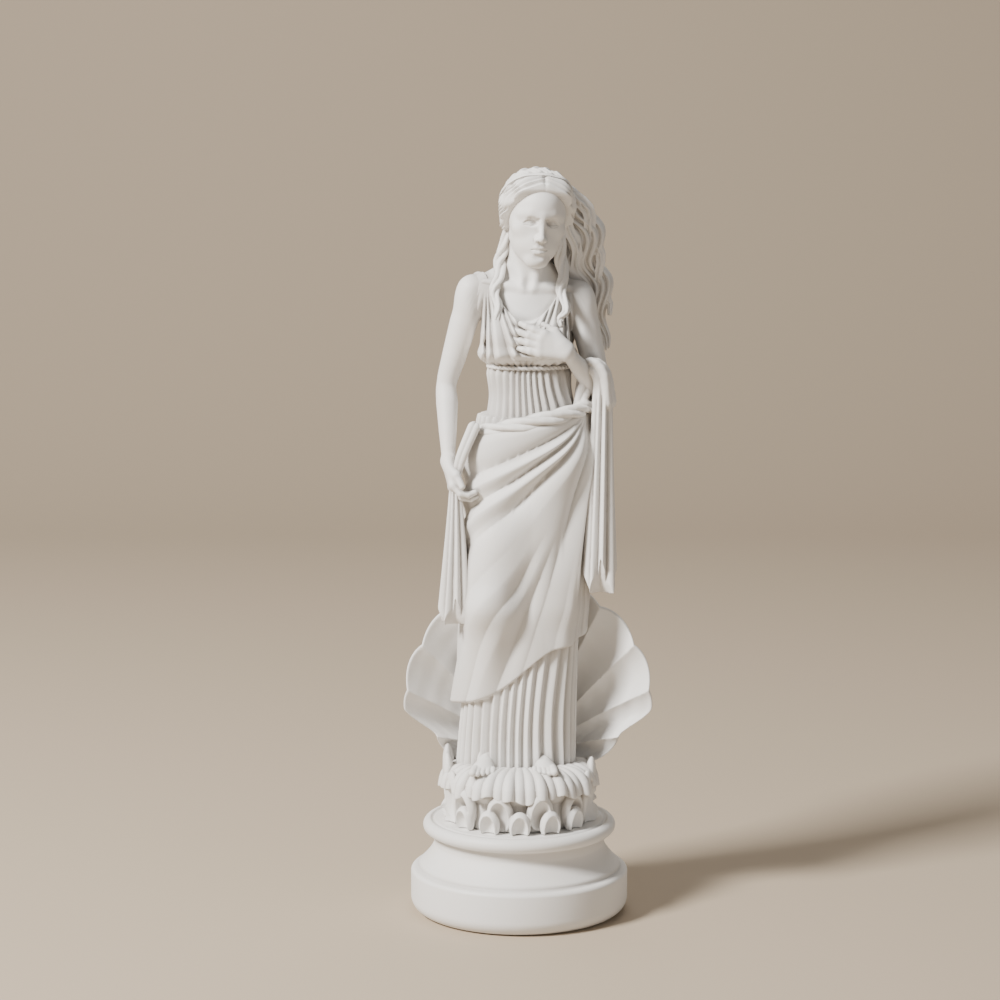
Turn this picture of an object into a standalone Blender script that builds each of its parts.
"""A goddess statuette, cast in one with a scallop shell and a mound of waves, on a round stepped plinth.

Sizes are in metres, +Z is up and the origin is the middle of the plinth's underside. The figure faces -Y.
The figure is a free form, so its pose and proportions are in hundredths of its own height, with the soles
at 0 and the crown at 100, and its head in hundredths of the head's own height, with the chin at 0.
"""

import math

import bmesh
import bpy
import numpy as np
from mathutils import Euler, Matrix, Vector

# Plinth, a turned body: foot, hollow neck and rounded rim
PLINTH_RADIUS = 0.044
PLINTH_FOOT_HEIGHT = 0.0178
PLINTH_EDGE = 0.006
PLINTH_STEP_RADIUS = 0.0408
PLINTH_NECK_RADIUS = 0.0345
PLINTH_NECK_HEIGHT = 0.0282
PLINTH_RIM_RADIUS = 0.039
PLINTH_RIM_HEIGHT = 0.0056
PLINTH_HEIGHT = 0.038
PLINTH_GROOVE_RADIUS = 0.0352
PLINTH_GROOVE_DEPTH = 0.0006
PLINTH_SEGMENTS = 60

# Mound of waves, which stands on the plinth
MOUND_GAP = 0.0003
MOUND_HEIGHT = 0.022
SIDE_LEAVES = (
    (70, 9.0), (86, 10.6), (103, 10.0), (152, 9.2), (180, 9.0),
    (-68, 9.0), (-83, 11.4), (-98, 12.4), (-113, 11.0), (-154, 9.4),
)

# Lower shell, the fan of ribs under the feet
FAN_RIBS = 25
FAN_SPREAD = 3.5
FAN_DROOP = 0.0085
FAN_HINGE = 0.001

# Upper shell, the upright valve behind the legs
SHELL_HEIGHT = 0.073
SHELL_HALF_WIDTH = 0.0490
SHELL_THICKNESS = 0.0026
SHELL_FLUTES = 11
SHELL_FLUTE_DEPTH = 0.0032
SHELL_DISH = 0.0145
SHELL_LEAN = 0.006
SHELL_BACK = 0.0155
SHELL_X = 0.0035
SHELL_ROOT_SHARE = 0.466
SHELL_ROUND_SHARE = 0.671

# Figure
FIGURE_HEIGHT = 0.2388
FIGURE_X = 0.0
FIGURE_Y = -0.001

# Fineness of the clay, and how many triangles the cast figure keeps
FINE_CLAY = 0.0007
CAST_TRIANGLES = 7600

FLOOR = PLINTH_HEIGHT + MOUND_GAP + MOUND_HEIGHT
UNIT = FIGURE_HEIGHT / 100
FINE = FINE_CLAY / UNIT


# Clay: soft forms that flow into each other
class Ball:
    """An egg of clay with three radii, turned about X, Y and Z in degrees."""

    def __init__(self, centre, radii, blend=1.0, turn=(0, 0, 0), hollow=False):
        self.centre = np.array(centre, np.float32)
        self.radii = np.array(radii, np.float32) * np.ones(3, np.float32)
        self.blend = blend
        self.axes = np.array(Euler([math.radians(angle) for angle in turn]).to_matrix(), np.float32)
        self.hollow = hollow

    def distance(self, points):
        local = (points - self.centre) @ self.axes / self.radii
        size = length(local)
        return size * (size - 1) / np.maximum(length(local / self.radii), 1e-6)

    def bounds(self):
        return self.centre - self.radii.max(), self.centre + self.radii.max()

    def placed(self, base, axes, scale):
        centre = base + axes @ self.centre * scale
        twin = Ball(centre, self.radii * scale, self.blend * scale, hollow=self.hollow)
        twin.axes = axes @ self.axes
        return twin

    def mirrored(self):
        twin = Ball(self.centre * FLIP, self.radii, self.blend, hollow=self.hollow)
        twin.axes = np.diag(FLIP) @ self.axes @ np.diag(FLIP)
        return twin


class Cord:
    """A round cord along a path. Ridges run along it, round or keen, and wind about it by twist, in turns."""

    def __init__(self, path, radii, blend=1.0, ridges=0, twist=0.0, depth=0.2, keen=False, hollow=False):
        self.path = np.array(path, np.float32)
        shares = np.linspace(0, 1, len(path))
        self.radii = np.interp(shares, np.linspace(0, 1, len(radii)), radii).astype(np.float32)
        self.blend = blend
        self.ridges = ridges
        self.twist = twist
        self.depth = depth
        self.keen = keen
        self.hollow = hollow

    def distance(self, points):
        ways = np.diff(self.path, axis=0)
        headings = np.vstack([ways[:1], ways[:-1] + ways[1:], ways[-1:]])
        headings /= length(headings)[:, None]
        best = np.full(len(points), 1e6, np.float32)
        offset = np.zeros_like(points)
        heading = np.zeros_like(points)
        along = np.zeros_like(best)
        thick = np.zeros_like(best)
        for index, way in enumerate(ways):
            start = self.path[index]
            share = np.clip((points - start) @ way / (way @ way), 0, 1)
            radius = self.radii[index] + (self.radii[index + 1] - self.radii[index]) * share
            off = points - start - share[:, None] * way
            far = length(off) - radius
            if not self.ridges:
                best = np.minimum(best, far)
                continue
            nearer = far < best
            best[nearer] = far[nearer]
            offset[nearer] = off[nearer]
            turned = headings[index + 1] - headings[index]
            heading[nearer] = headings[index] + share[nearer][:, None] * turned
            along[nearer] = (index + share[nearer]) / len(ways)
            thick[nearer] = radius[nearer]
        if self.ridges:
            heading /= length(heading)[:, None]
            side = np.cross(heading, CORD_SIDE)
            up = np.cross(heading, side)
            turn = np.arctan2((offset * side).sum(1), (offset * up).sum(1))
            phase = self.ridges * (turn / math.tau + self.twist * along)
            relief = crest(phase) if self.keen else fold(phase)
            best = best + self.depth * thick * (1 - relief)
        return best

    def bounds(self):
        thick = self.radii.max()
        return self.path.min(0) - thick, self.path.max(0) + thick

    def placed(self, base, axes, scale):
        path = base + self.path @ axes.T * scale
        return Cord(path, self.radii * scale, self.blend * scale, hollow=self.hollow)

    def mirrored(self):
        return Cord(self.path * FLIP, self.radii, self.blend, hollow=self.hollow)


class Cloth:
    """A form of any shape, known by its own distance within a box."""

    hollow = False

    def __init__(self, low, high, distance, blend=0.3):
        self.low = np.array(low, np.float32)
        self.high = np.array(high, np.float32)
        self.distance = distance
        self.blend = blend

    def bounds(self):
        return self.low, self.high


FLIP = np.array([-1, 1, 1], np.float32)
CORD_SIDE = np.array([0.31, 0.87, 0.38], np.float32)


def Rod(start, end, start_radius, end_radius=None, blend=1.0, hollow=False):
    """A round-ended, tapering rod between two points."""
    return Cord((start, end), (start_radius, end_radius or start_radius), blend, hollow=hollow)


def length(vectors):
    return np.sqrt((vectors * vectors).sum(1))


def curve(points, count):
    """A smooth path through the points."""
    points = np.array(points, float)
    ends = np.vstack([2 * points[0] - points[1], points, 2 * points[-1] - points[-2]])
    path = []
    for place in np.linspace(0, len(points) - 1, count):
        index = min(int(place), len(points) - 2)
        share = place - index
        a, b, c, d = ends[index:index + 4]
        path.append(
            b + 0.5 * share * (c - a + share * (2 * a - 5 * b + 4 * c - d + share * (3 * (b - c) + d - a)))
        )
    return np.array(path)


def joined(first, second, blend):
    """Two distances as one, with a fillet of clay about as wide as blend where they meet."""
    share = np.clip(0.5 + 0.5 * (second - first) / blend, 0, 1)
    return second + (first - second) * share - blend * share * (1 - share)


def cut(first, second, blend):
    """The first form without the second, with a soft edge."""
    return -joined(-first, second, blend)


def ramp(values, low, high):
    """0 below low, 1 above high and smooth between them."""
    share = np.clip((values - low) / (high - low), 0, 1)
    return share * share * (3 - 2 * share)


def fold(phase, sharp=1.6):
    """Rounded crests with narrow valleys, one for each whole number."""
    return 1 - np.abs((phase % 1) * 2 - 1) ** sharp


def crest(phase, sharp=1.6):
    """Thin crests with wide hollows, one for each whole number."""
    return (0.5 + 0.5 * np.cos(phase * math.tau)) ** sharp


def clay(forms, reach=2.5):
    """The distance function of a list of forms. Each is joined to, or cut from, those before it."""

    def distance(points):
        total = np.full(len(points), reach * 2, np.float32)
        least, most = points.min(0), points.max(0)
        for form in forms:
            low, high = form.bounds()
            margin = reach + form.blend
            if np.any(least > high + margin) or np.any(most < low - margin):
                continue
            near = np.all((points > low - margin) & (points < high + margin), axis=1)
            if near.any():
                own = form.distance(points[near])
                mix = cut if form.hollow else joined
                total[near] = mix(total[near], own, form.blend)
        return total

    return distance


# Meshes
def measured(distance, points):
    """The distances of many points, worked out a bundle at a time."""
    bundles = np.array_split(points, max(1, len(points) // 20000))
    return np.concatenate([distance(bundle) for bundle in bundles]).astype(np.float32)


def skinned(distance, low, high, step):
    """The surface where the distance is nothing, as a mesh of near-even squares."""
    low = np.array(low, np.float32)
    blocks = np.ceil((np.array(high) - low) / (step * 8)).astype(int)
    values = np.ones(blocks * 8, np.float32)
    index = np.argwhere(np.ones(blocks, bool))
    index = index[np.argsort(index[:, 2], kind="stable")]
    for size, parts in ((8, 4), (2, 2), (1, 0)):
        found = measured(distance, (low + (index * size + (size - 1) / 2) * step).astype(np.float32))
        counts = values.shape
        table = values.reshape(counts[0] // size, size, counts[1] // size, size, counts[2] // size, size)
        table[index[:, 0], :, index[:, 1], :, index[:, 2], :] = found[:, None, None, None]
        if parts:
            near = np.abs(found) < (size + 1) * 1.05 * step
            offsets = np.argwhere(np.ones((parts,) * 3, bool))
            index = (index[near][:, None] * parts + offsets).reshape(-1, 3)
    inside = values < 0
    for axis in range(3):
        np.moveaxis(inside, axis, 0)[[0, -1]] = False
        np.moveaxis(values, axis, 0)[[0, -1]] = 1
    corners = np.argwhere(np.ones((2, 2, 2), bool))
    shifted = [
        inside[a:inside.shape[0] - 1 + a, b:inside.shape[1] - 1 + b, c:inside.shape[2] - 1 + c]
        for a, b, c in corners
    ]
    active = np.logical_or.reduce(shifted) & ~np.logical_and.reduce(shifted)
    cells = np.argwhere(active)
    number = np.full(active.shape, -1, np.int32)
    number[active] = np.arange(len(cells))
    total = np.zeros((len(cells), 3), np.float32)
    count = np.zeros(len(cells), np.float32)
    for first in corners:
        for axis in np.flatnonzero(first == 0):
            way = np.eye(3, dtype=int)[axis]
            start = values[tuple((cells + first).T)]
            end = values[tuple((cells + first + way).T)]
            crossed = (start < 0) != (end < 0)
            share = start[crossed] / (start[crossed] - end[crossed])
            total[crossed] += first + way * share[:, None]
            count[crossed] += 1
    points = low + (cells + total / count[:, None]) * step
    squares = []
    for axis in range(3):
        way, side, up = np.eye(3, dtype=int)[[axis, (axis + 1) % 3, (axis + 2) % 3]]
        here = inside[tuple(slice(1, -1 if part else None) for part in way)]
        ahead = inside[tuple(slice(2 if part else 1, None) for part in way)]
        for leaving in (True, False):
            edges = np.argwhere((here & ~ahead) if leaving else (~here & ahead)) + 1
            ring = [edges - side - up, edges - up, edges, edges - side]
            square = np.stack([number[tuple(corner.T)] for corner in ring], axis=1)
            squares.append(square if leaving else square[:, ::-1])
    squares = np.concatenate(squares)
    squares = squares[(squares >= 0).all(axis=1)]
    mesh = bpy.data.meshes.new("skin")
    mesh.vertices.add(len(points))
    mesh.vertices.foreach_set("co", points.astype(np.float32).ravel())
    mesh.loops.add(squares.size)
    mesh.loops.foreach_set("vertex_index", squares.astype(np.int32).ravel())
    mesh.polygons.add(len(squares))
    mesh.polygons.foreach_set("loop_start", np.arange(0, squares.size, 4, dtype=np.int32))
    mesh.update(calc_edges=True)
    return pressed(mesh, distance)


def places(mesh):
    points = np.empty(len(mesh.vertices) * 3, np.float32)
    mesh.vertices.foreach_get("co", points)
    return points.reshape(-1, 3)


def normals(mesh):
    vectors = np.empty(len(mesh.vertices) * 3, np.float32)
    mesh.vertex_normals.foreach_get("vector", vectors)
    return vectors.reshape(-1, 3)


def moved(mesh, points):
    mesh.vertices.foreach_set("co", points.astype(np.float32).ravel())
    mesh.update()
    return mesh


def eased(mesh, share):
    """Every point moved a share of the way to the middle of its neighbours."""
    points = places(mesh)
    ends = np.empty(len(mesh.edges) * 2, np.int32)
    mesh.edges.foreach_get("vertices", ends)
    first, second = ends.reshape(-1, 2).T
    total = np.zeros(points.shape)
    count = np.maximum(np.bincount(ends, minlength=len(points)), 1)[:, None]
    for axis in range(3):
        total[:, axis] += np.bincount(first, points[second, axis], len(points))
        total[:, axis] += np.bincount(second, points[first, axis], len(points))
    return moved(mesh, points + (total / count - points) * share)


def pressed(mesh, distance, rounds=2, most=0.1):
    """Every point evened out among its neighbours and put back on the surface along its normal."""
    for _ in range(rounds):
        eased(mesh, 0.5)
        points, vectors = places(mesh), normals(mesh)
        here = measured(distance, points)
        ahead = measured(distance, points + vectors * 0.02)
        slope = np.clip((ahead - here) / 0.02, 0.7, 4)
        moved(mesh, points - vectors * np.clip(here / slope, -most, most)[:, None])
    return mesh


# Figure: where its joints are, in hundredths of its height. Right and left are her own.
MIDDLE = 1.2
RIGHT_SHOULDER = (-7.8, 0.9, 80.2)
RIGHT_ELBOW = (-12.2, 2.4, 64.4)
RIGHT_WRIST = (-11.8, -3.2, 52.0)
LEFT_SHOULDER = (9.8, 0.9, 79.2)
LEFT_ELBOW = (13.6, 1.0, 62.8)
LEFT_WRIST = (7.6, -7.2, 70.6)
RIGHT_HIP = (-3.0, 0.0, 51.0)
RIGHT_KNEE = (-4.6, -4.4, 28.0)
RIGHT_ANKLE = (-5.0, 0.6, 5.0)
LEFT_HIP = (6.6, 0.2, 52.5)
LEFT_KNEE = (5.2, -0.6, 28.0)
LEFT_ANKLE = (3.6, 1.6, 5.0)
BELT = 67.6


def between(start, end, share):
    return tuple(Vector(start).lerp(Vector(end), share))


def torso():
    """Chest, waist, hips and neck."""
    return [
        Ball((1.1, 0.8, 73.0), (7.0, 4.9, 9.2)),
        Rod((-5.6, 1.3, 79.4), (7.8, 1.3, 78.5), 2.6, blend=2.5),
        Ball((1.8, 0.3, 63.5), (6.1, 4.4, 8.5), blend=3),
        Ball((2.2, 0.9, 53.5), (8.6, 5.8, 7.2), blend=4),
        Ball((2.1, -1.5, 58.5), (5.2, 3.5, 5.6), blend=3),
        Ball((-2.2, -3.6, 72.9), (3.2, 3.0, 3.2), blend=1.6),
        Ball((4.6, -3.7, 72.4), (3.2, 3.0, 3.2), blend=1.6),
        Rod((0.0, 1.8, 85.0), (-5.6, 1.5, 81.0), 1.5, blend=2.2),
        Rod((2.8, 1.8, 85.0), (7.6, 1.5, 80.2), 1.5, blend=2.2),
        Rod((1.3, 1.2, 79.0), (1.7, 0.6, 88.0), 3.0, 2.7, blend=1.8),
        Rod((0.5, -2.1, 80.6), (-5.8, -1.0, 81.6), 0.65, 0.5, blend=0.9),
        Rod((2.1, -2.1, 80.5), (7.8, -1.1, 80.6), 0.65, 0.5, blend=0.9),
        Rod((0.7, -2.2, 80.7), (-0.7, 0.4, 87.6), 0.6, 0.8, blend=0.9),
        Rod((2.0, -2.2, 80.6), (4.2, 0.6, 87.4), 0.6, 0.8, blend=0.9),
        Ball((1.35, -3.2, 81.6), (0.7, 0.8, 0.9), blend=0.8, hollow=True),
    ]


def arm(shoulder, elbow, wrist):
    """Shoulder, upper arm and forearm."""
    path = [
        shoulder, between(shoulder, elbow, 0.35), between(shoulder, elbow, 0.7), elbow,
        between(elbow, wrist, 0.25), between(elbow, wrist, 0.6), wrist,
    ]
    return [
        Ball(between(shoulder, elbow, 0.09), (2.45, 2.35, 3.6), blend=1.6),
        Cord(curve(path, 25), (2.2, 2.3, 2.05, 1.66, 1.82, 1.5, 1.05), blend=1.0),
    ]


FINGER_LENGTHS = (4.3, 4.8, 4.5, 3.6)
FINGER_SPACING = 1.08
PALM_LENGTH = 4.6
PALM_SIDE = (0.4, 1.0, 0.0)


def hand(wrist, along, across, curls, spread=0.06, thumb_out=0.75):
    """A hand from the wrist: along points to the knuckles, across to the thumb. Fingers curl by degrees."""
    along = Vector(along).normalized()
    across = (Vector(across) - along * Vector(across).dot(along)).normalized()
    palm = along.cross(across).normalized()
    if palm.dot(Vector(PALM_SIDE)) < 0:
        palm = -palm
    wrist = Vector(wrist)
    forms = [Ball(wrist, 1.15, blend=0.8)]
    for index, length in enumerate(FINGER_LENGTHS):
        place = 1.5 - index
        knuckle = wrist + along * (PALM_LENGTH - 0.25 * abs(place - 0.5)) + across * FINGER_SPACING * place
        knuckle = knuckle - palm * 0.15
        forms.append(Rod(wrist + across * place * 0.45, knuckle, 0.85, 0.72, blend=0.8))
        way = (along + across * place * spread).normalized()
        turned = 0.0
        tip = knuckle
        for share, curl, radii in zip((0.44, 0.31, 0.25), curls, ((0.66, 0.6), (0.6, 0.54), (0.54, 0.46))):
            turned += math.radians(curl)
            heading = way * math.cos(turned) + palm * math.sin(turned)
            start = tip
            tip = start + heading * length * share
            forms.append(Rod(start, tip, *radii, blend=0.18 if share < 0.44 else 0.4))
    root = wrist + along * 1.1 + across * 1.0
    middle = root + (along * 1.0 + across * thumb_out + palm * 0.35).normalized() * 2.3
    forms.append(Rod(root, middle, 0.95, 0.75, blend=0.9))
    tip = middle + (along * 1.3 + across * 0.25 + palm * 0.3).normalized() * 2.3
    forms.append(Rod(middle, tip, 0.66, 0.5, blend=0.3))
    return forms


def arms():
    """Both arms with their hands."""
    return (
        arm(RIGHT_SHOULDER, RIGHT_ELBOW, RIGHT_WRIST)
        + arm(LEFT_SHOULDER, LEFT_ELBOW, LEFT_WRIST)
        + hand(RIGHT_WRIST, (0.22, -0.3, -1.0), (0.1, -1.0, 0.1), (28, 42, 30))
        + hand(LEFT_WRIST, (-1.0, -0.02, 0.32), (0.2, 0.0, 1.0), (6, 10, 8), thumb_out=0.9)
    )


# Head, in hundredths of its own height from chin to crown, in a frame of its own
HEAD_HEIGHT = 14.6
HEAD_BASE = (1.9, -1.1, 85.0)
HEAD_TURN = (9, 5, 10)
HEAD_AXES = np.array(Euler([math.radians(angle) for angle in HEAD_TURN]).to_matrix())


def both_sides(forms):
    """The forms of her left half, each with its mirror image."""
    return [twin for form in forms for twin in (form, form.mirrored())]


def skull():
    """Cranium, forehead, cheeks, jaw and chin."""
    return [
        Ball((0, 5, 63), (32, 41, 36)),
        Ball((0, -8, 69), (26, 30.5, 25), blend=10),
        Ball((0, -6, 44), (28, 30, 42), blend=14),
        Ball((0, -26, 22), (16, 13.5, 15), blend=11),
        Ball((0, -29.5, 6.8), (9.5, 9.5, 7.5), blend=8),
        *both_sides([
            Cord(((20.5, 4, 27), (14.5, -12, 13), (6, -27, 7)), (6.5, 6, 6), blend=9),
            Ball((13, -15, 26), (12, 15, 15), blend=9),
            Ball((19.0, -20, 41), (9.5, 9, 8), blend=9),
        ]),
        Rod((0, 14, 28), (-2, 22, -14), 19, 20, blend=9),
    ]


def features():
    """Brow, eye sockets, nose, lips and chin of a calm, even face."""
    return [
        *both_sides([
            Cord(((3, -34.2, 58.5), (12, -32.4, 61), (21.5, -25.0, 57.5)), (4.0, 4.4, 4.2), blend=6),
            Ball((13.2, -41.8, 51.2), (9.2, 8.8, 6.8), blend=2.6, hollow=True),
        ]),
        Cord(((0, -35.5, 60), (0, -38.2, 51), (0, -44.6, 35.5)), (4.2, 2.9, 3.2), blend=5),
        Ball((0, -38.0, 33.5), (5.6, 5.5, 4.4), blend=3.5),
        Ball((0, -44.4, 34.0), (3.8, 3.8, 3.4), blend=2.6),
        *both_sides([
            Ball((4.7, -41.2, 32.8), (2.5, 3.9, 2.7), blend=2.0),
            Ball((13.2, -25.8, 50.2), (8.8, 8.7, 7.2), blend=1.6),
            Cord(
                (
                    (7.0, -31.8, 49.3), (9.8, -34.3, 50.5), (13.4, -35.2, 51.0),
                    (17.2, -34.1, 50.2), (20.5, -31.0, 48.4),
                ),
                (0.3, 2.4, 3.3, 2.4, 0.3), blend=0.4, hollow=True,
            ),
            Ball((13.2, -25.8, 50.2), (7.6, 7.1, 6.6), blend=0.2),
            Cord(
                ((6.4, -31.6, 53.8), (13.4, -34.2, 56.8), (21.2, -28.8, 53.0)),
                (0.3, 0.9, 0.3), 0.9, hollow=True,
            ),
            Ball((2.4, -44.0, 30.9), (1.3, 2.2, 1.0), blend=0.6, hollow=True),
            Cord(((0.0, -38.2, 23.3), (3.2, -38.4, 23.9), (9.6, -34.6, 20.9)), (2.2, 2.3, 0.9), blend=2.0),
            Cord(((0.0, -37.6, 17.6), (4.0, -37.0, 17.9), (8.6, -34.6, 20.0)), (3.0, 2.7, 0.9), blend=2.0),
        ]),
        Cord(
            ((-9.2, -36.6, 20.6), (-4, -40.5, 20.7), (0, -41.3, 20.1), (4, -40.5, 20.7), (9.2, -36.6, 20.6)),
            (0.3, 0.8, 0.9, 0.8, 0.3), blend=0.6, hollow=True,
        ),
        Ball((0, -42.0, 27.4), (1.0, 2.2, 2.6), blend=1.6, hollow=True),
        Ball((0, -43.5, 12.4), (8, 4.0, 2.4), blend=4, hollow=True),
    ]


def head():
    forms = skull() + features()
    return [form.placed(np.array(HEAD_BASE), HEAD_AXES, HEAD_HEIGHT / 100) for form in forms]


# Hair: a cap of strands that leave a middle parting and run back to a knot, with long locks
HAIR_THICK = 5.0
HAIR_EDGE = -34.0
STRAND_WIDTH = 8.2
KNOT = (0, 49, 42)
BAND_WIDTH = 2.3


def in_head(points):
    return (points - np.array(HEAD_BASE, np.float32)) @ HEAD_AXES * np.float32(100 / HEAD_HEIGHT)


def hair_cap():
    bare = clay(skull(), reach=14)

    def distance(points):
        local = in_head(points)
        side, back, height = np.abs(local[:, 0]), local[:, 1], local[:, 2]
        skin = bare(local)
        below = np.maximum(88 - height, 0)
        sweep = back - 0.25 * below**1.3
        thick = HAIR_THICK + 2.5 * ramp(side, 10, 26) + 1.5 * ramp(back, 0, 30)
        plane = (height - 84) * 0.74 + (back - 2) * 0.67
        front = crest(sweep / STRAND_WIDTH + 0.35 * np.sin(height * 0.25 + side * 0.12) + 0.3, 1.2)
        turn = np.arctan2(local[:, 0], height - KNOT[2])
        rear = turn * 11 / math.pi + 0.25 * np.sin(back * 0.3) + 0.4 * np.sin(turn * 3)
        behind = ramp(plane, -1, 1)
        strands = front * (1 - behind) + (0.6 * fold(rear, 1.5) + 0.25 * fold(rear * 2.0 + 0.3, 1.4)) * behind
        waves = 0.9 * np.sin(below * 0.36 + sweep * 0.2)
        parting = 1.7 * np.exp(-((side / 2.0) ** 2)) * ramp(height, 60, 80) * (1 - behind)
        cap = skin - thick - 3.4 * (strands - 0.4) - waves + parting
        band = np.maximum(skin - thick - 2.6, np.abs(plane) - BAND_WIDTH)
        groove = 1.5 * ramp(-np.abs(plane), -BAND_WIDTH - 2.2, -BAND_WIDTH)
        cap = joined(cap + groove, band, 0.8)
        cap = cut(cap, sweep - HAIR_EDGE, 3.0)
        cap = cut(cap, height - 26 - 0.25 * back, 4.0)
        return cap * (HEAD_HEIGHT / 100 / 1.25)

    return Cloth((-5, -9, 84), (9, 10, 104), distance, blend=0.12)


def hair_knot():
    knot = Ball(KNOT, (15, 13, 13.5))

    def distance(points):
        local = in_head(points)
        away = local - np.array(KNOT, np.float32)
        turn = np.arctan2(away[:, 0], away[:, 2])
        ring = np.hypot(away[:, 0], away[:, 2])
        coils = fold(2 * turn / math.tau + ring / 6.5, 1.5)
        return (knot.distance(local) - 2.2 * (coils - 0.5)) * (HEAD_HEIGHT / 100 / 1.3)

    return Cloth((-3, 2, 86), (8, 12, 98), distance, blend=0.2)


def lock(points, start, end, waves=3.0, sway=0.5, blend=0.3, keen=False):
    """A long wavy lock of strands, twisted, or side by side with keen crests."""
    path = curve(points, 22)
    share = np.linspace(0, 1, len(path))
    across = np.cross(np.gradient(path, axis=0), (0, 1, 0))
    across /= length(across)[:, None]
    path += across * (sway * np.sin(share * waves * math.tau) * share**0.7)[:, None]
    path[:, 1] += 0.5 * sway * np.cos(share * waves * math.tau) * share
    radii = (start, start * 1.15, start, (start + end) / 2, end)
    if keen:
        return Cord(path, radii, blend, ridges=7, twist=0.1, depth=0.34, keen=True)
    return Cord(path, radii, blend, ridges=4, twist=1.0, depth=0.38)


def hair_fall():
    """The mass of hair that streams out at her left: wide, flat and waved, with keen crests along it."""
    path = curve(
        [
            (3.6, 1.4, 95.6), (8.0, 2.2, 93.8), (10.2, 3.2, 88.6),
            (11.4, 4.4, 83.0), (12.8, 4.8, 77.0), (13.2, 4.8, 70.5),
        ],
        26,
    )
    stations = np.linspace(0, 1, len(path))
    widths = np.interp(stations, (0, 0.2, 0.5, 0.8, 1), (2.4, 3.5, 3.5, 2.6, 1.2))
    depths = np.interp(stations, (0, 0.2, 0.5, 0.8, 1), (1.8, 2.1, 1.9, 1.6, 0.9))
    steps = np.diff(path, axis=0)
    headings = np.gradient(path, axis=0)
    headings /= length(headings)[:, None]
    sides = np.cross(headings, (0, 1, 0))
    sides /= length(sides)[:, None]

    def distance(points):
        total = np.full(len(points), 1e-30)
        share = np.zeros(len(points))
        for index, way in enumerate(steps):
            part = np.clip((points - path[index]) @ way / (way @ way), 0, 1)
            weight = np.exp(-4 * length(points - path[index] - part[:, None] * way))
            total += weight
            share += weight * (index + part) / len(steps)
        share /= total
        middle, heading, across = (
            np.stack([np.interp(share, stations, column) for column in vectors.T], axis=1)
            for vectors in (path, headings, sides)
        )
        off = points - middle
        wide, deep = np.interp(share, stations, widths), np.interp(share, stations, depths)
        wave = share * 3.3 * math.tau
        side = (off * across).sum(1) - 0.85 * np.sin(wave) * ramp(share, 0.02, 0.3)
        back = off[:, 1] - 0.35 * np.cos(wave)
        past = (off * heading).sum(1)
        size = np.sqrt((side / wide) ** 2 + (back / deep) ** 2 + (past / deep) ** 2)
        slope = np.sqrt((side / wide**2) ** 2 + (back / deep**2) ** 2 + (past / deep**2) ** 2)
        mass = size * (size - 1) / np.maximum(slope, 1e-6)
        crests = crest(side / wide * 2.6 + 0.2 * np.sin(wave * 0.5), 1.3)
        fine = crest(side / wide * 7.8 + 0.25)
        inner = 1 - ramp(np.abs(side / wide), 0.72, 1.0)
        return (mass - inner * wide * (0.21 * crests + 0.03 * fine - 0.1)) / 1.5

    return Cloth((-1, -2, 68), (18, 9, 100), distance, blend=0.4)


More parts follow.
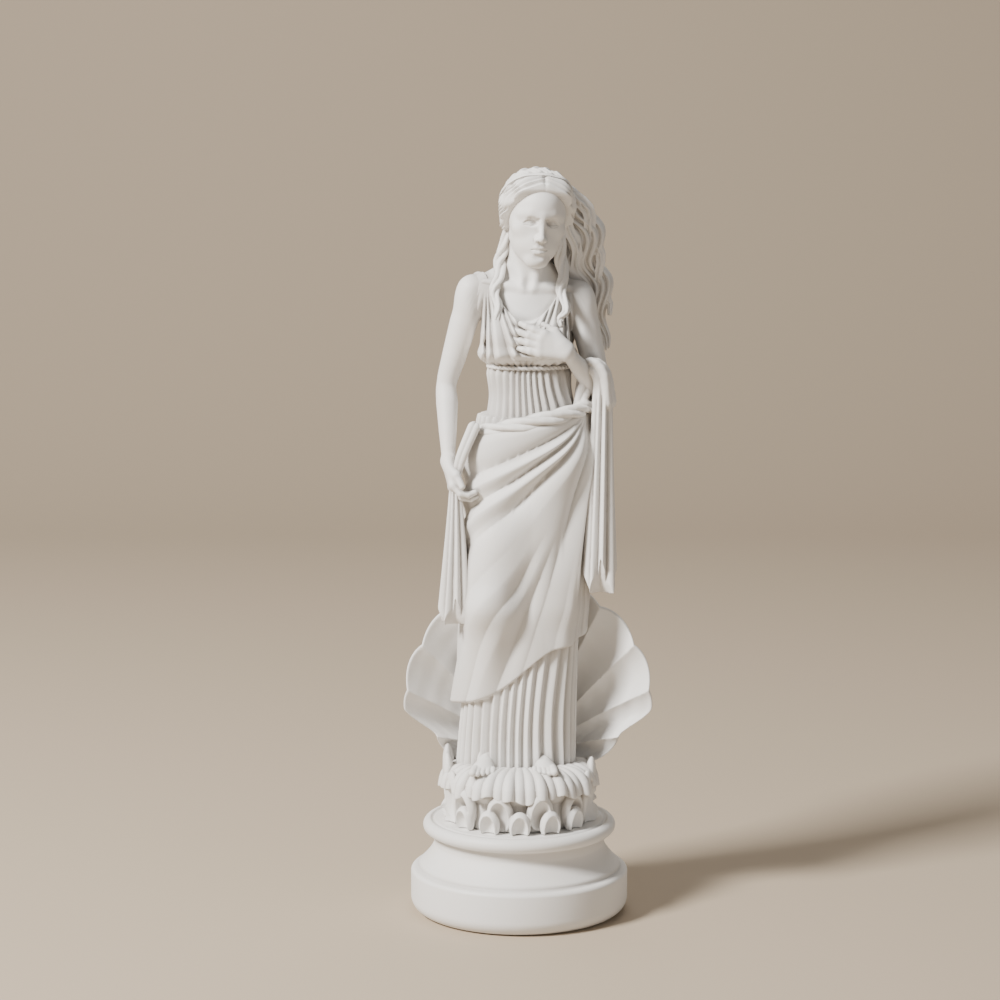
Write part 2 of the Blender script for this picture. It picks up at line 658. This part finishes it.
def locks():
    """Locks on the chest, over the shoulders and down the back, on two soft masses of hair."""
    return [
        Cord(
            curve([(1.7, 4.0, 92.0), (1.9, 5.0, 85.5), (2.2, 4.6, 78.5), (2.0, 4.6, 72.0)], 10),
            (3.2, 3.3, 2.6, 1.4), 1.0,
        ),
        Cord(
            curve([(4.9, 2.4, 91.5), (7.2, 3.6, 85.0), (10.2, 3.6, 79.0), (10.9, 3.2, 72.0)], 10),
            (1.7, 2.0, 1.9, 1.0), 0.8,
        ),
        lock(
            [(6.3, -0.2, 89.8), (6.9, 0.0, 85.6), (7.0, -1.8, 81.6), (7.3, -4.4, 77.5), (6.7, -6.2, 74.8)],
            1.0, 0.4,
        ),
        lock(
            [(-2.0, 0.6, 89.6), (-3.0, 0.8, 85.4), (-3.7, -1.6, 81.6), (-3.9, -4.0, 77.8), (-3, -5.8, 74.6)],
            1.0, 0.4,
        ),
        lock(
            [
                (2.6, 1.0, 96.0), (7.2, 1.0, 96.3), (11.0, 1.8, 92.8),
                (12.3, 2.8, 87.6), (13.7, 3.6, 82.2), (14.6, 4.2, 76.0),
            ],
            1.3, 0.45, 3.4, 0.8, keen=True,
        ),
        lock(
            [
                (5.7, -1.2, 94.6), (7.7, 0.4, 91.2), (8.9, 1.6, 87.2),
                (9.9, 3.0, 83.2), (11.2, 4.4, 79.0), (11.8, 4.8, 73.0),
            ],
            1.1, 0.4, 3.2, 0.7, keen=True,
        ),
        lock(
            [(5.4, 3.4, 90.0), (7.6, 4.6, 83.5), (10.4, 4.4, 77.0), (10.9, 3.6, 69.0), (10.0, 3.6, 61.0)],
            1.35, 0.45, 4,
        ),
        lock(
            [(0.2, 5.4, 89.5), (-1.8, 5.9, 83.0), (-3.6, 6.0, 76.0), (-3.4, 6.2, 68.5), (-2.6, 6.0, 62.0)],
            1.15, 0.4, 4,
        ),
        lock(
            [(1.4, 6.3, 88.5), (0.4, 6.6, 82.0), (-0.7, 6.5, 74.0), (-0.2, 6.3, 66.0), (0.6, 6.0, 59.5)],
            1.3, 0.4, 4,
        ),
        lock(
            [(2.6, 6.4, 88.5), (2.9, 6.8, 82.0), (2.2, 6.8, 74.0), (2.8, 6.3, 66.5), (2.2, 6.0, 61.0)],
            1.3, 0.4, 4,
        ),
        lock(
            [(3.8, 5.8, 89.0), (5.2, 6.2, 82.5), (5.3, 6.2, 75.0), (5.9, 5.8, 67.5), (5.2, 5.6, 62.0)],
            1.25, 0.4, 4,
        ),
        lock(
            [(4.8, 4.6, 89.4), (6.8, 5.6, 83.0), (8.2, 5.4, 76.0), (8.6, 4.9, 69.0), (7.8, 5.0, 63.5)],
            1.15, 0.4, 4,
        ),
    ]


# Gown and mantle, in hundredths of the figure's height
CLOTH_THICKNESS = 0.5
NECKLINE = 75.4
HEM = -1.2
COLUMN_X = (2.2, -0.6)
COLUMN_WIDE = (8.6, 9.4)
COLUMN_DEEP = (5.9, 5.2)
COLUMN_TOP = 56.0
MANTLE_TOP = 58.4
MANTLE_HEM = 16.5
MANTLE_HEM_RISE = 6.5
GATHER_TURN = 1.15
GATHER_HEIGHT = 60.5
GIRTH = 9.6


def oval(points):
    """Where points are across the skirt: an oval section that changes from top to foot."""
    share = np.clip(1 - points[:, 2] / COLUMN_TOP, 0, 1)
    middle = COLUMN_X[0] + (COLUMN_X[1] - COLUMN_X[0]) * share
    wide = COLUMN_WIDE[0] + (COLUMN_WIDE[1] - COLUMN_WIDE[0]) * share**1.6
    deep = COLUMN_DEEP[0] + (COLUMN_DEEP[1] - COLUMN_DEEP[0]) * share
    return (points[:, 0] - middle) / wide, points[:, 1] / deep, deep


def column(points):
    side, back, deep = oval(points)
    ring = (np.hypot(side, back) - 1) * deep
    return np.maximum(ring, np.abs(points[:, 2] - COLUMN_TOP / 2) - COLUMN_TOP / 2 - 3)


def legs():
    """The skirt's core, with hips and legs as they press into the cloth."""
    return [
        Cloth((-13, -7, -4), (12, 7, COLUMN_TOP + 3), column),
        Ball((2.2, 0.8, 53.5), (9.4, 6.4, 8.0), blend=3),
        Rod(RIGHT_HIP, RIGHT_KNEE, 5.2, 3.7, blend=2.2),
        Rod(RIGHT_KNEE, RIGHT_ANKLE, 3.6, 2.5, blend=1.4),
        Rod(LEFT_HIP, LEFT_KNEE, 5.2, 4.0, blend=2.2),
        Rod(LEFT_KNEE, LEFT_ANKLE, 3.8, 3.0, blend=1.4),
    ]


def skirt():
    core = clay(legs(), reach=4)
    free_leg = clay([Rod(RIGHT_HIP, RIGHT_KNEE, 5.0, 3.9), Rod(RIGHT_KNEE, RIGHT_ANKLE, 3.7, 2.3)], reach=6)

    def distance(points):
        side, back, _ = oval(points)
        turn = np.arctan2(side, -back)
        height = points[:, 2]
        body_distance = core(points)
        slack = 1 - 0.75 * ramp(-free_leg(points), -1.6, 0.4) * ramp(height, 8, 20)
        # Gown under the mantle: fine upright pleats that flare to the hem
        stray = 0.3 * np.sin(turn * 3 + 1) + 0.2 * np.sin(turn * 5) + 0.2 * np.sin(height * 0.2)
        pleats = np.maximum(fold(turn * 34 / math.tau + stray, 1.4), 0.16)
        flare = (0.66 + 0.32 * ramp(-height, -14, 0)) * (0.6 + 0.4 * np.abs(np.cos(turn)))
        gown = body_distance - 0.1 - flare * (pleats - 0.45)
        # Mantle: folds hang from the gather at her left hip and swing round both ways to her right
        away = (turn - GATHER_TURN + math.pi) % math.tau - math.pi
        away = math.pi - np.sqrt((math.pi - np.abs(away)) ** 2 + 0.12)
        reach = GIRTH * away
        down = np.maximum(GATHER_HEIGHT - height, 0.01)
        sag = 0.10 * np.clip(reach, 0, 24) * ramp(down, 2, 26)
        ray = np.arctan2(down + sag, reach + 0.15 * down)
        far = np.hypot(down, reach)
        wide = fold(ray * 13 / math.pi + 0.3 + 0.3 * np.sin(ray * 8.4 + 0.6), 1.5)
        narrow = fold(ray * 27 / math.pi + 0.9 + 0.3 * np.sin(ray * 17), 1.5)
        mix = ramp(far, 20, 36)
        depth = 1.25 * ramp(far, 1, 12) * slack
        folds = depth * (wide * (1 - 0.35 * mix) + 0.45 * mix * narrow - 0.5)
        hem = MANTLE_HEM + MANTLE_HEM_RISE * np.sin(turn) + 0.7 * np.sin(ray * 26)
        mantle = cut(body_distance - 0.85 - folds, height - hem, 0.5)
        mantle = cut(mantle, MANTLE_TOP + 2.0 * np.sin(turn) - height, 0.6)
        both = cut(joined(gown, mantle, 0.3), height - HEM, 0.3)
        return both / 1.35

    return Cloth((-15, -10, HEM - 0.5), (15, 10, 63), distance, blend=0.25)


def bodice():
    """The gown above the hips: thin cloth over the chest, pinned on both shoulders and belted."""
    skin = clay(torso()[:8], reach=4)

    def distance(points):
        side, back, height = points.T
        front = ramp(-back, -2.4, 0.6)
        off = side - MIDDLE
        pin = np.where(off < 0, MIDDLE - 6.6, MIDDLE + 6.4)
        ray = np.arctan2(side - pin, 83.5 - height)
        rays = fold(ray * 7.5 + 0.2 + 0.25 * np.sin(ray * 15), 1.5) * ramp(np.abs(off), 0.4, 2.4)
        rays = 0.5 + (rays - 0.5) * ramp(np.hypot(side - pin, 83.5 - height), 3.0, 7.0)
        bows = fold((height - 0.12 * off**2) * 0.55 + 0.2, 1.5) * (1 - ramp(np.abs(off), 1.6, 3.4))
        turn = np.arctan2(off, -(back - 0.6))
        upright = fold(turn * 30 / math.tau + 0.4 * np.sin(turn * 3) + 0.2 * np.sin(height * 0.4), 1.6)
        above = ramp(height, BELT - 0.4, BELT + 2.2)
        drape = front * (rays + bows) + (1 - front) * upright
        folds = 0.6 * above * (drape - 0.5) + 0.6 * (1 - above) * (upright - 0.5)
        pouch = 0.9 * np.exp(-(((height - BELT - 1.9) / 1.3) ** 2))
        tie = 0.45 * np.exp(-(((height - BELT) / 0.8) ** 2))
        cloth = skin(points) - CLOTH_THICKNESS - folds - pouch + tie
        line = (1 - front) * (79.0 + 0.05 * off**2) + front * (NECKLINE + 0.16 * off**2)
        return cut(cloth, line - height, 0.3) / 1.25

    return Cloth((-10, -9, 56), (13, 9, 83), distance, blend=0.12)


def ring(middle, wide, deep, height, rise, count=40):
    """A closed oval path about the body, higher on her left by the rise."""
    turns = np.linspace(0, math.tau, count)
    path = [np.sin(turns) * wide + middle[0], middle[1] - np.cos(turns) * deep, height + rise * np.sin(turns)]
    return np.stack(path, axis=1)


def hanging(top, bottom, wide, deep, folds, step):
    """A bunch of cloth that hangs in folds, widens downwards and ends in a stepped hem."""
    drop = top[2] - bottom[2]

    def distance(points):
        share = np.clip((top[2] - points[:, 2]) / drop, 0, 1.2)
        swing = share**0.7
        across = wide[0] + (wide[1] - wide[0]) * share
        through = deep[0] + (deep[1] - deep[0]) * share
        side = (points[:, 0] - top[0] - (bottom[0] - top[0]) * swing) / across
        back = (points[:, 1] - top[1] - (bottom[1] - top[1]) * swing) / through
        turn = np.arctan2(side, -back)
        away = np.hypot(side, back)
        crest = fold(turn * folds / math.tau + 0.2 * np.sin(turn * 2 + 0.5) + 0.3 * share, 1.5)
        shape = (away - 1) * through - 0.36 * through * (crest - 0.5)
        steps = np.abs((turn / math.tau * (folds // 2) % 1) * 2 - 1)
        hem = bottom[2] + step * steps * np.minimum(away, 1) ** 2
        shape = cut(shape, (points[:, 2] - hem) / 3, 0.1)
        return cut(shape, top[2] + 0.8 - points[:, 2], 0.8) / 1.45

    reach = max(wide) * 1.5
    low = np.minimum(top, bottom) - np.array((reach, reach, 0.5))
    high = np.maximum(top, bottom) + np.array((reach, reach, 1.0))
    return Cloth(low, high, distance, blend=0.3)


def drapes():
    """Roll of cloth about the hips, cord belt, the mantle's end over her left arm and what her hand holds."""
    over_arm = curve(
        [(9.8, -2.0, 60.5), (10.6, -1.6, 64.0), (11.7, -3.2, 67.7), (13.4, -3.6, 66.6), (14.4, -3.2, 62.0)],
        14,
    )
    from_hand = curve([(-10.7, -5.0, 48.6), (-9.6, -5.6, 53.0), (-7.6, -5.2, 57.8)], 8)
    roll = ring((2.1, 0.7), 9.7, 7.3, 58.8, 2.2)
    return [
        Cord(roll, (1.5, 1.25, 1.1, 1.25, 1.5), 0.25, ridges=4, twist=3, depth=0.38),
        Cord(ring((1.6, 0.35), 6.75, 5.25, BELT, 0.0), (0.42,), 0.1, ridges=2, twist=24, depth=0.4),
        Cord(over_arm, (1.2, 1.5, 1.7, 1.8, 1.6), 0.5, ridges=4, twist=0.3, depth=0.3),
        hanging((13.7, -2.4, 65.0), (13.4, -2.8, 30.0), (1.5, 2.7), (1.9, 3.3), 8, 6.0),
        Cord(from_hand, (0.7, 1.0, 1.1), 0.5, ridges=3, depth=0.3),
        hanging((-10.7, -4.9, 48.8), (-10.6, -5.0, 25.0), (0.8, 2.9), (0.8, 2.2), 8, 4.5),
    ]


def foot(ankle, toes, inner):
    """The front of a bare foot: the instep, the ball and five toes. Inner is the side of the big toe."""
    ankle, toes = Vector(ankle), Vector(toes)
    along = (toes - Vector((ankle.x, ankle.y, toes.z))).normalized()
    across = Vector((along.y, -along.x, 0)) * inner
    root = toes - along * 4.2
    instep = [ankle.lerp(root, 0.3), ankle.lerp(root, 0.7), root + along * 0.6 + Vector((0, 0, 0.95))]
    forms = [
        Cord([tuple(spot) for spot in instep], (1.75, 1.6, 1.15), 0.3),
        Ball(root + along * 0.9 + across * 0.15 + Vector((0, 0, 0.72)), (1.85, 1.9, 0.98), blend=0.9),
    ]
    for index, (reach, thick) in enumerate(((2.3, 0.64), (2.35, 0.46), (2.0, 0.43), (1.6, 0.41), (1.2, 0.4))):
        side = across * (1.3 - 0.74 * index)
        start = root + along * (2.2 - 0.12 * index) + side + Vector((0, 0, 0.75))
        end = start + along * reach + side * 0.06 + Vector((0, 0, thick - 0.72))
        forms.append(Rod(start, end, thick + 0.08, thick, blend=0.12))
    return forms


def feet():
    return foot(RIGHT_ANKLE, (-6.4, -9.7, 0.0), 1) + foot(LEFT_ANKLE, (4.4, -9.2, 0.0), -1)


# Upper shell: an upright scallop valve, hollow to the front
def upper_shell():
    radius = SHELL_HEIGHT / UNIT
    half = SHELL_HALF_WIDTH / UNIT
    middle = SHELL_X / UNIT
    root = SHELL_ROOT_SHARE * radius
    stretch = half / (SHELL_ROUND_SHARE * radius)

    def distance(points):
        side, height = (points[:, 0] - middle) / stretch, points[:, 2]
        away = np.hypot(side, height)
        angle = np.arctan2(side, height)
        rim = root + (radius - root) * np.clip(np.cos(angle), 0, 1) ** 0.8
        below = np.abs(angle)
        rim *= (1 - 0.2 * ramp(below, 1.13, 1.27)) * (1 - 0.5 * ramp(below, math.pi / 2, 2.1))
        phase = angle / math.pi * SHELL_FLUTES + 0.5
        flute = fold(phase, 2.0)
        share = away / rim
        rim = rim * (1 + 0.03 * flute)
        bend = SHELL_DISH * (points[:, 0] - middle) ** 2 / half**2 + SHELL_LEAN * np.clip(share, 0, 1.2) ** 2
        surface = (SHELL_BACK - bend + SHELL_FLUTE_DEPTH * flute * ramp(share, 0.1, 0.7)) / UNIT
        growth = 0.06 * np.sin(share * 46)
        sheet = np.abs(points[:, 1] - surface - growth * ramp(share, 0.2, 0.5)) - SHELL_THICKNESS / UNIT / 2
        return cut(sheet / 1.5, (rim - away) / 1.2, 0.5)

    front = (SHELL_BACK - 1.5 * (SHELL_DISH + SHELL_LEAN)) / UNIT - 3
    back = (SHELL_BACK + SHELL_FLUTE_DEPTH) / UNIT + 2
    low = (middle - 1.15 * half, front, -3)
    return Cloth(low, (middle + 1.15 * half, back, 1.1 * radius), distance, blend=0.8)


# Lower shell: a fan of ribs under the feet that droops over its edge
def lower_shell():
    ribs = []
    for index in range(FAN_RIBS):
        turn = (index / (FAN_RIBS - 1) - 0.5) * FAN_SPREAD
        side, ahead = math.sin(turn), math.cos(turn)
        reach = 1 + 0.03 * math.sin(index * 2.4)
        path = [
            (side * away * reach, FAN_HINGE / UNIT - ahead * away * reach, height)
            for away, height in ((2.5, 0.1), (6.5, 0.0), (10.2, -0.35), (12.1, -1.9), (12.8, -5.2))
        ]
        ribs.append(Cord(curve(path, 18), (0.4, 0.64, 0.9, 1.02, 0.98), 0.1))
    fan = clay(ribs)

    def distance(points):
        turn = np.arctan2(points[:, 0], FAN_HINGE / UNIT - points[:, 1])
        ends = -FAN_DROOP / UNIT * (1 + 0.1 * np.sin(turn * 7 + 1) + 0.08 * np.sin(turn * 19))
        return cut(fan(points), points[:, 2] - ends, 0.12)

    return [
        Ball((0, 0, -3.6), (11.6, 11.4, 3.7), blend=0.8),
        Cloth((-14.5, -14.5, -5), (14.5, 6, 1.5), distance, blend=0.1),
    ]


# Mound of waves: a plain core with scooped leaves about it
def core():
    middle = (MOUND_HEIGHT - 0.004) / UNIT / 2

    def distance(points):
        ring_distance = np.hypot(points[:, 0], points[:, 1]) - 10.9
        return np.maximum(ring_distance, np.abs(points[:, 2] + MOUND_HEIGHT / UNIT - middle) - middle)

    return Cloth((-12, -12, -MOUND_HEIGHT / UNIT - 0.5), (12, 12, 0), distance, blend=0.5)


def mound():
    floor = -MOUND_HEIGHT / UNIT
    forms = [core()]
    rows = (
        (0.5, 11, 11.7, floor + 3.4, 2.25, 3.2, 10),
        (0.0, 15, 12.4, floor + 1.4, 1.8, 2.5, 5),
    )
    for shift, count, radius, height, wide, tall, lean in rows:
        for index in range(count):
            turn = (index + shift) * 360 / count
            jitter = math.sin(index * 2.7 + shift * 5)
            forms += leaf(turn, radius + 0.25 * jitter, height + 0.5 * jitter * shift, wide, tall, lean)
    for turn, tall in SIDE_LEAVES:
        forms += leaf(turn, 12.0, floor + tall / 2, 2.2, tall / 2, 3, thick=1.15)
    return forms


def leaf(turn, radius, height, wide, tall, lean, thick=1.4):
    """An arched wave leaf, scooped out in front down to its foot. Turn is in degrees from the front."""
    out = np.array((math.sin(math.radians(turn)), -math.cos(math.radians(turn)), 0))
    spot = out * radius + np.array((0, 0, height))
    scoop = spot + out * 0.95 * thick - np.array((0, 0, 0.3 * tall))
    angles = (lean, 0, turn)
    return [
        Ball(spot, (wide, thick, tall), blend=0.25, turn=angles),
        Ball(scoop, (wide * 0.76, thick * 1.3, tall * 1.0), blend=0.15, turn=angles, hollow=True),
    ]


def casting():
    """Distance of the whole casting: mound, shells, figure, hair and cloth, cut flat underneath."""
    forms = mound() + lower_shell() + [upper_shell()]
    forms += torso() + head() + arms() + [bodice(), skirt(), hair_cap(), hair_knot()]
    forms += [hair_fall()] + locks() + drapes() + feet()
    whole = clay(forms)
    return lambda points: cut(whole(points), points[:, 2] + MOUND_HEIGHT / UNIT, 0.1)


SHELL_REACH = 1.15 * SHELL_HALF_WIDTH / UNIT
CASTING_LOW = (min(-17, SHELL_X / UNIT - SHELL_REACH), -17, -MOUND_HEIGHT / UNIT - 0.7)
CASTING_HIGH = (max(18, SHELL_X / UNIT + SHELL_REACH), 14, 103)


# Building
def evaluated(obj):
    """The object's mesh with its modifiers applied."""
    graph = bpy.context.evaluated_depsgraph_get()
    return bpy.data.meshes.new_from_object(obj.evaluated_get(graph))


def with_modifier(mesh, kind, **values):
    """The mesh after one modifier."""
    helper = bpy.data.objects.new("helper", mesh)
    bpy.context.scene.collection.objects.link(helper)
    modifier = helper.modifiers.new("Step", kind)
    for name, value in values.items():
        setattr(modifier, name, value)
    made = evaluated(helper)
    bpy.data.objects.remove(helper)
    return made


def one_skin(mesh):
    """The mesh without anything that isn't joined to its topmost point."""
    shape = bmesh.new()
    shape.from_mesh(mesh)
    start = max(shape.verts, key=lambda vert: vert.co.z)
    kept = {start}
    waiting = [start]
    while waiting:
        vert = waiting.pop()
        for edge in vert.link_edges:
            other = edge.other_vert(vert)
            if other not in kept:
                kept.add(other)
                waiting.append(other)
    bmesh.ops.delete(shape, geom=[vert for vert in shape.verts if vert not in kept], context="VERTS")
    shape.to_mesh(mesh)
    shape.free()
    return mesh


def material(name, colour, roughness):
    made = bpy.data.materials.new(name)
    made.use_nodes = True
    shader = made.node_tree.nodes["Principled BSDF"]
    shader.inputs["Base Color"].default_value = colour
    shader.inputs["Roughness"].default_value = roughness
    return made


def node(name, mesh, finish, collection):
    obj = bpy.data.objects.new(name, mesh)
    collection.objects.link(obj)
    mesh.materials.clear()
    mesh.materials.append(finish)
    return obj


def plinth_profile():
    """Half section of the plinth from the middle of its top down to the middle of its underside."""
    top, groove = PLINTH_HEIGHT, PLINTH_GROOVE_DEPTH
    profile = [(0, top), (PLINTH_GROOVE_RADIUS - 0.0009, top), (PLINTH_GROOVE_RADIUS, top - groove)]
    half = PLINTH_RIM_HEIGHT / 2
    profile.append((PLINTH_GROOVE_RADIUS + 0.0009, top - 0.0001))
    for degrees in (60, 20, -20, -60, -90):
        turn = math.radians(degrees)
        profile.append((PLINTH_RIM_RADIUS - half + half * math.cos(turn), top - half + half * math.sin(turn)))
    profile.append((PLINTH_NECK_RADIUS + 0.0006, top - PLINTH_RIM_HEIGHT - 0.0008))
    rise = PLINTH_NECK_HEIGHT - PLINTH_FOOT_HEIGHT - 0.0016
    for share in (0, 0.45, 0.8, 1):
        out = (PLINTH_STEP_RADIUS - PLINTH_NECK_RADIUS) * share**1.5
        profile.append((PLINTH_NECK_RADIUS + out, PLINTH_NECK_HEIGHT - rise * share))
    profile.append((PLINTH_STEP_RADIUS + 0.0003, PLINTH_FOOT_HEIGHT + 0.0004))
    profile.append((PLINTH_RADIUS - 0.0011, PLINTH_FOOT_HEIGHT - 0.0002))
    profile.append((PLINTH_RADIUS, PLINTH_FOOT_HEIGHT - 0.0014))
    for degrees in (0, -35, -65, -90):
        turn = math.radians(degrees)
        across = PLINTH_RADIUS - PLINTH_EDGE + PLINTH_EDGE * math.cos(turn)
        profile.append((across, PLINTH_EDGE + PLINTH_EDGE * math.sin(turn)))
    profile.append((0, 0))
    return profile


def turned(name, profile, steps):
    """A body of revolution from a half section that runs down its outer side."""
    mesh = bpy.data.meshes.new(name)
    points = [(across, 0, height) for across, height in profile]
    mesh.from_pydata(points, [(index, index + 1) for index in range(len(points) - 1)], [])
    return with_modifier(
        mesh, "SCREW", steps=steps, render_steps=steps, use_merge_vertices=True, merge_threshold=0.00001,
    )


def build():
    for obj in list(bpy.data.objects):
        bpy.data.objects.remove(obj)
    collection = bpy.data.collections.new("goddess_statuette")
    bpy.context.scene.collection.children.link(collection)
    mesh = skinned(casting(), CASTING_LOW, CASTING_HIGH, FINE)
    mesh = one_skin(with_modifier(mesh, "REMESH", mode="VOXEL", voxel_size=FINE * 0.9))
    share = CAST_TRIANGLES / (2 * len(mesh.polygons))
    mesh = with_modifier(mesh, "DECIMATE", ratio=share, use_collapse_triangulate=True)
    mesh.transform(Matrix.Translation((FIGURE_X, FIGURE_Y, FLOOR)) @ Matrix.Scale(UNIT, 4))
    white = material("white_cast_resin", (0.80, 0.79, 0.77, 1), 0.62)
    node("figure", mesh, white, collection)
    plain = material("white_cast_plinth", (0.80, 0.79, 0.77, 1), 0.62)
    node("plinth", turned("plinth", plinth_profile(), PLINTH_SEGMENTS), plain, collection)


build()
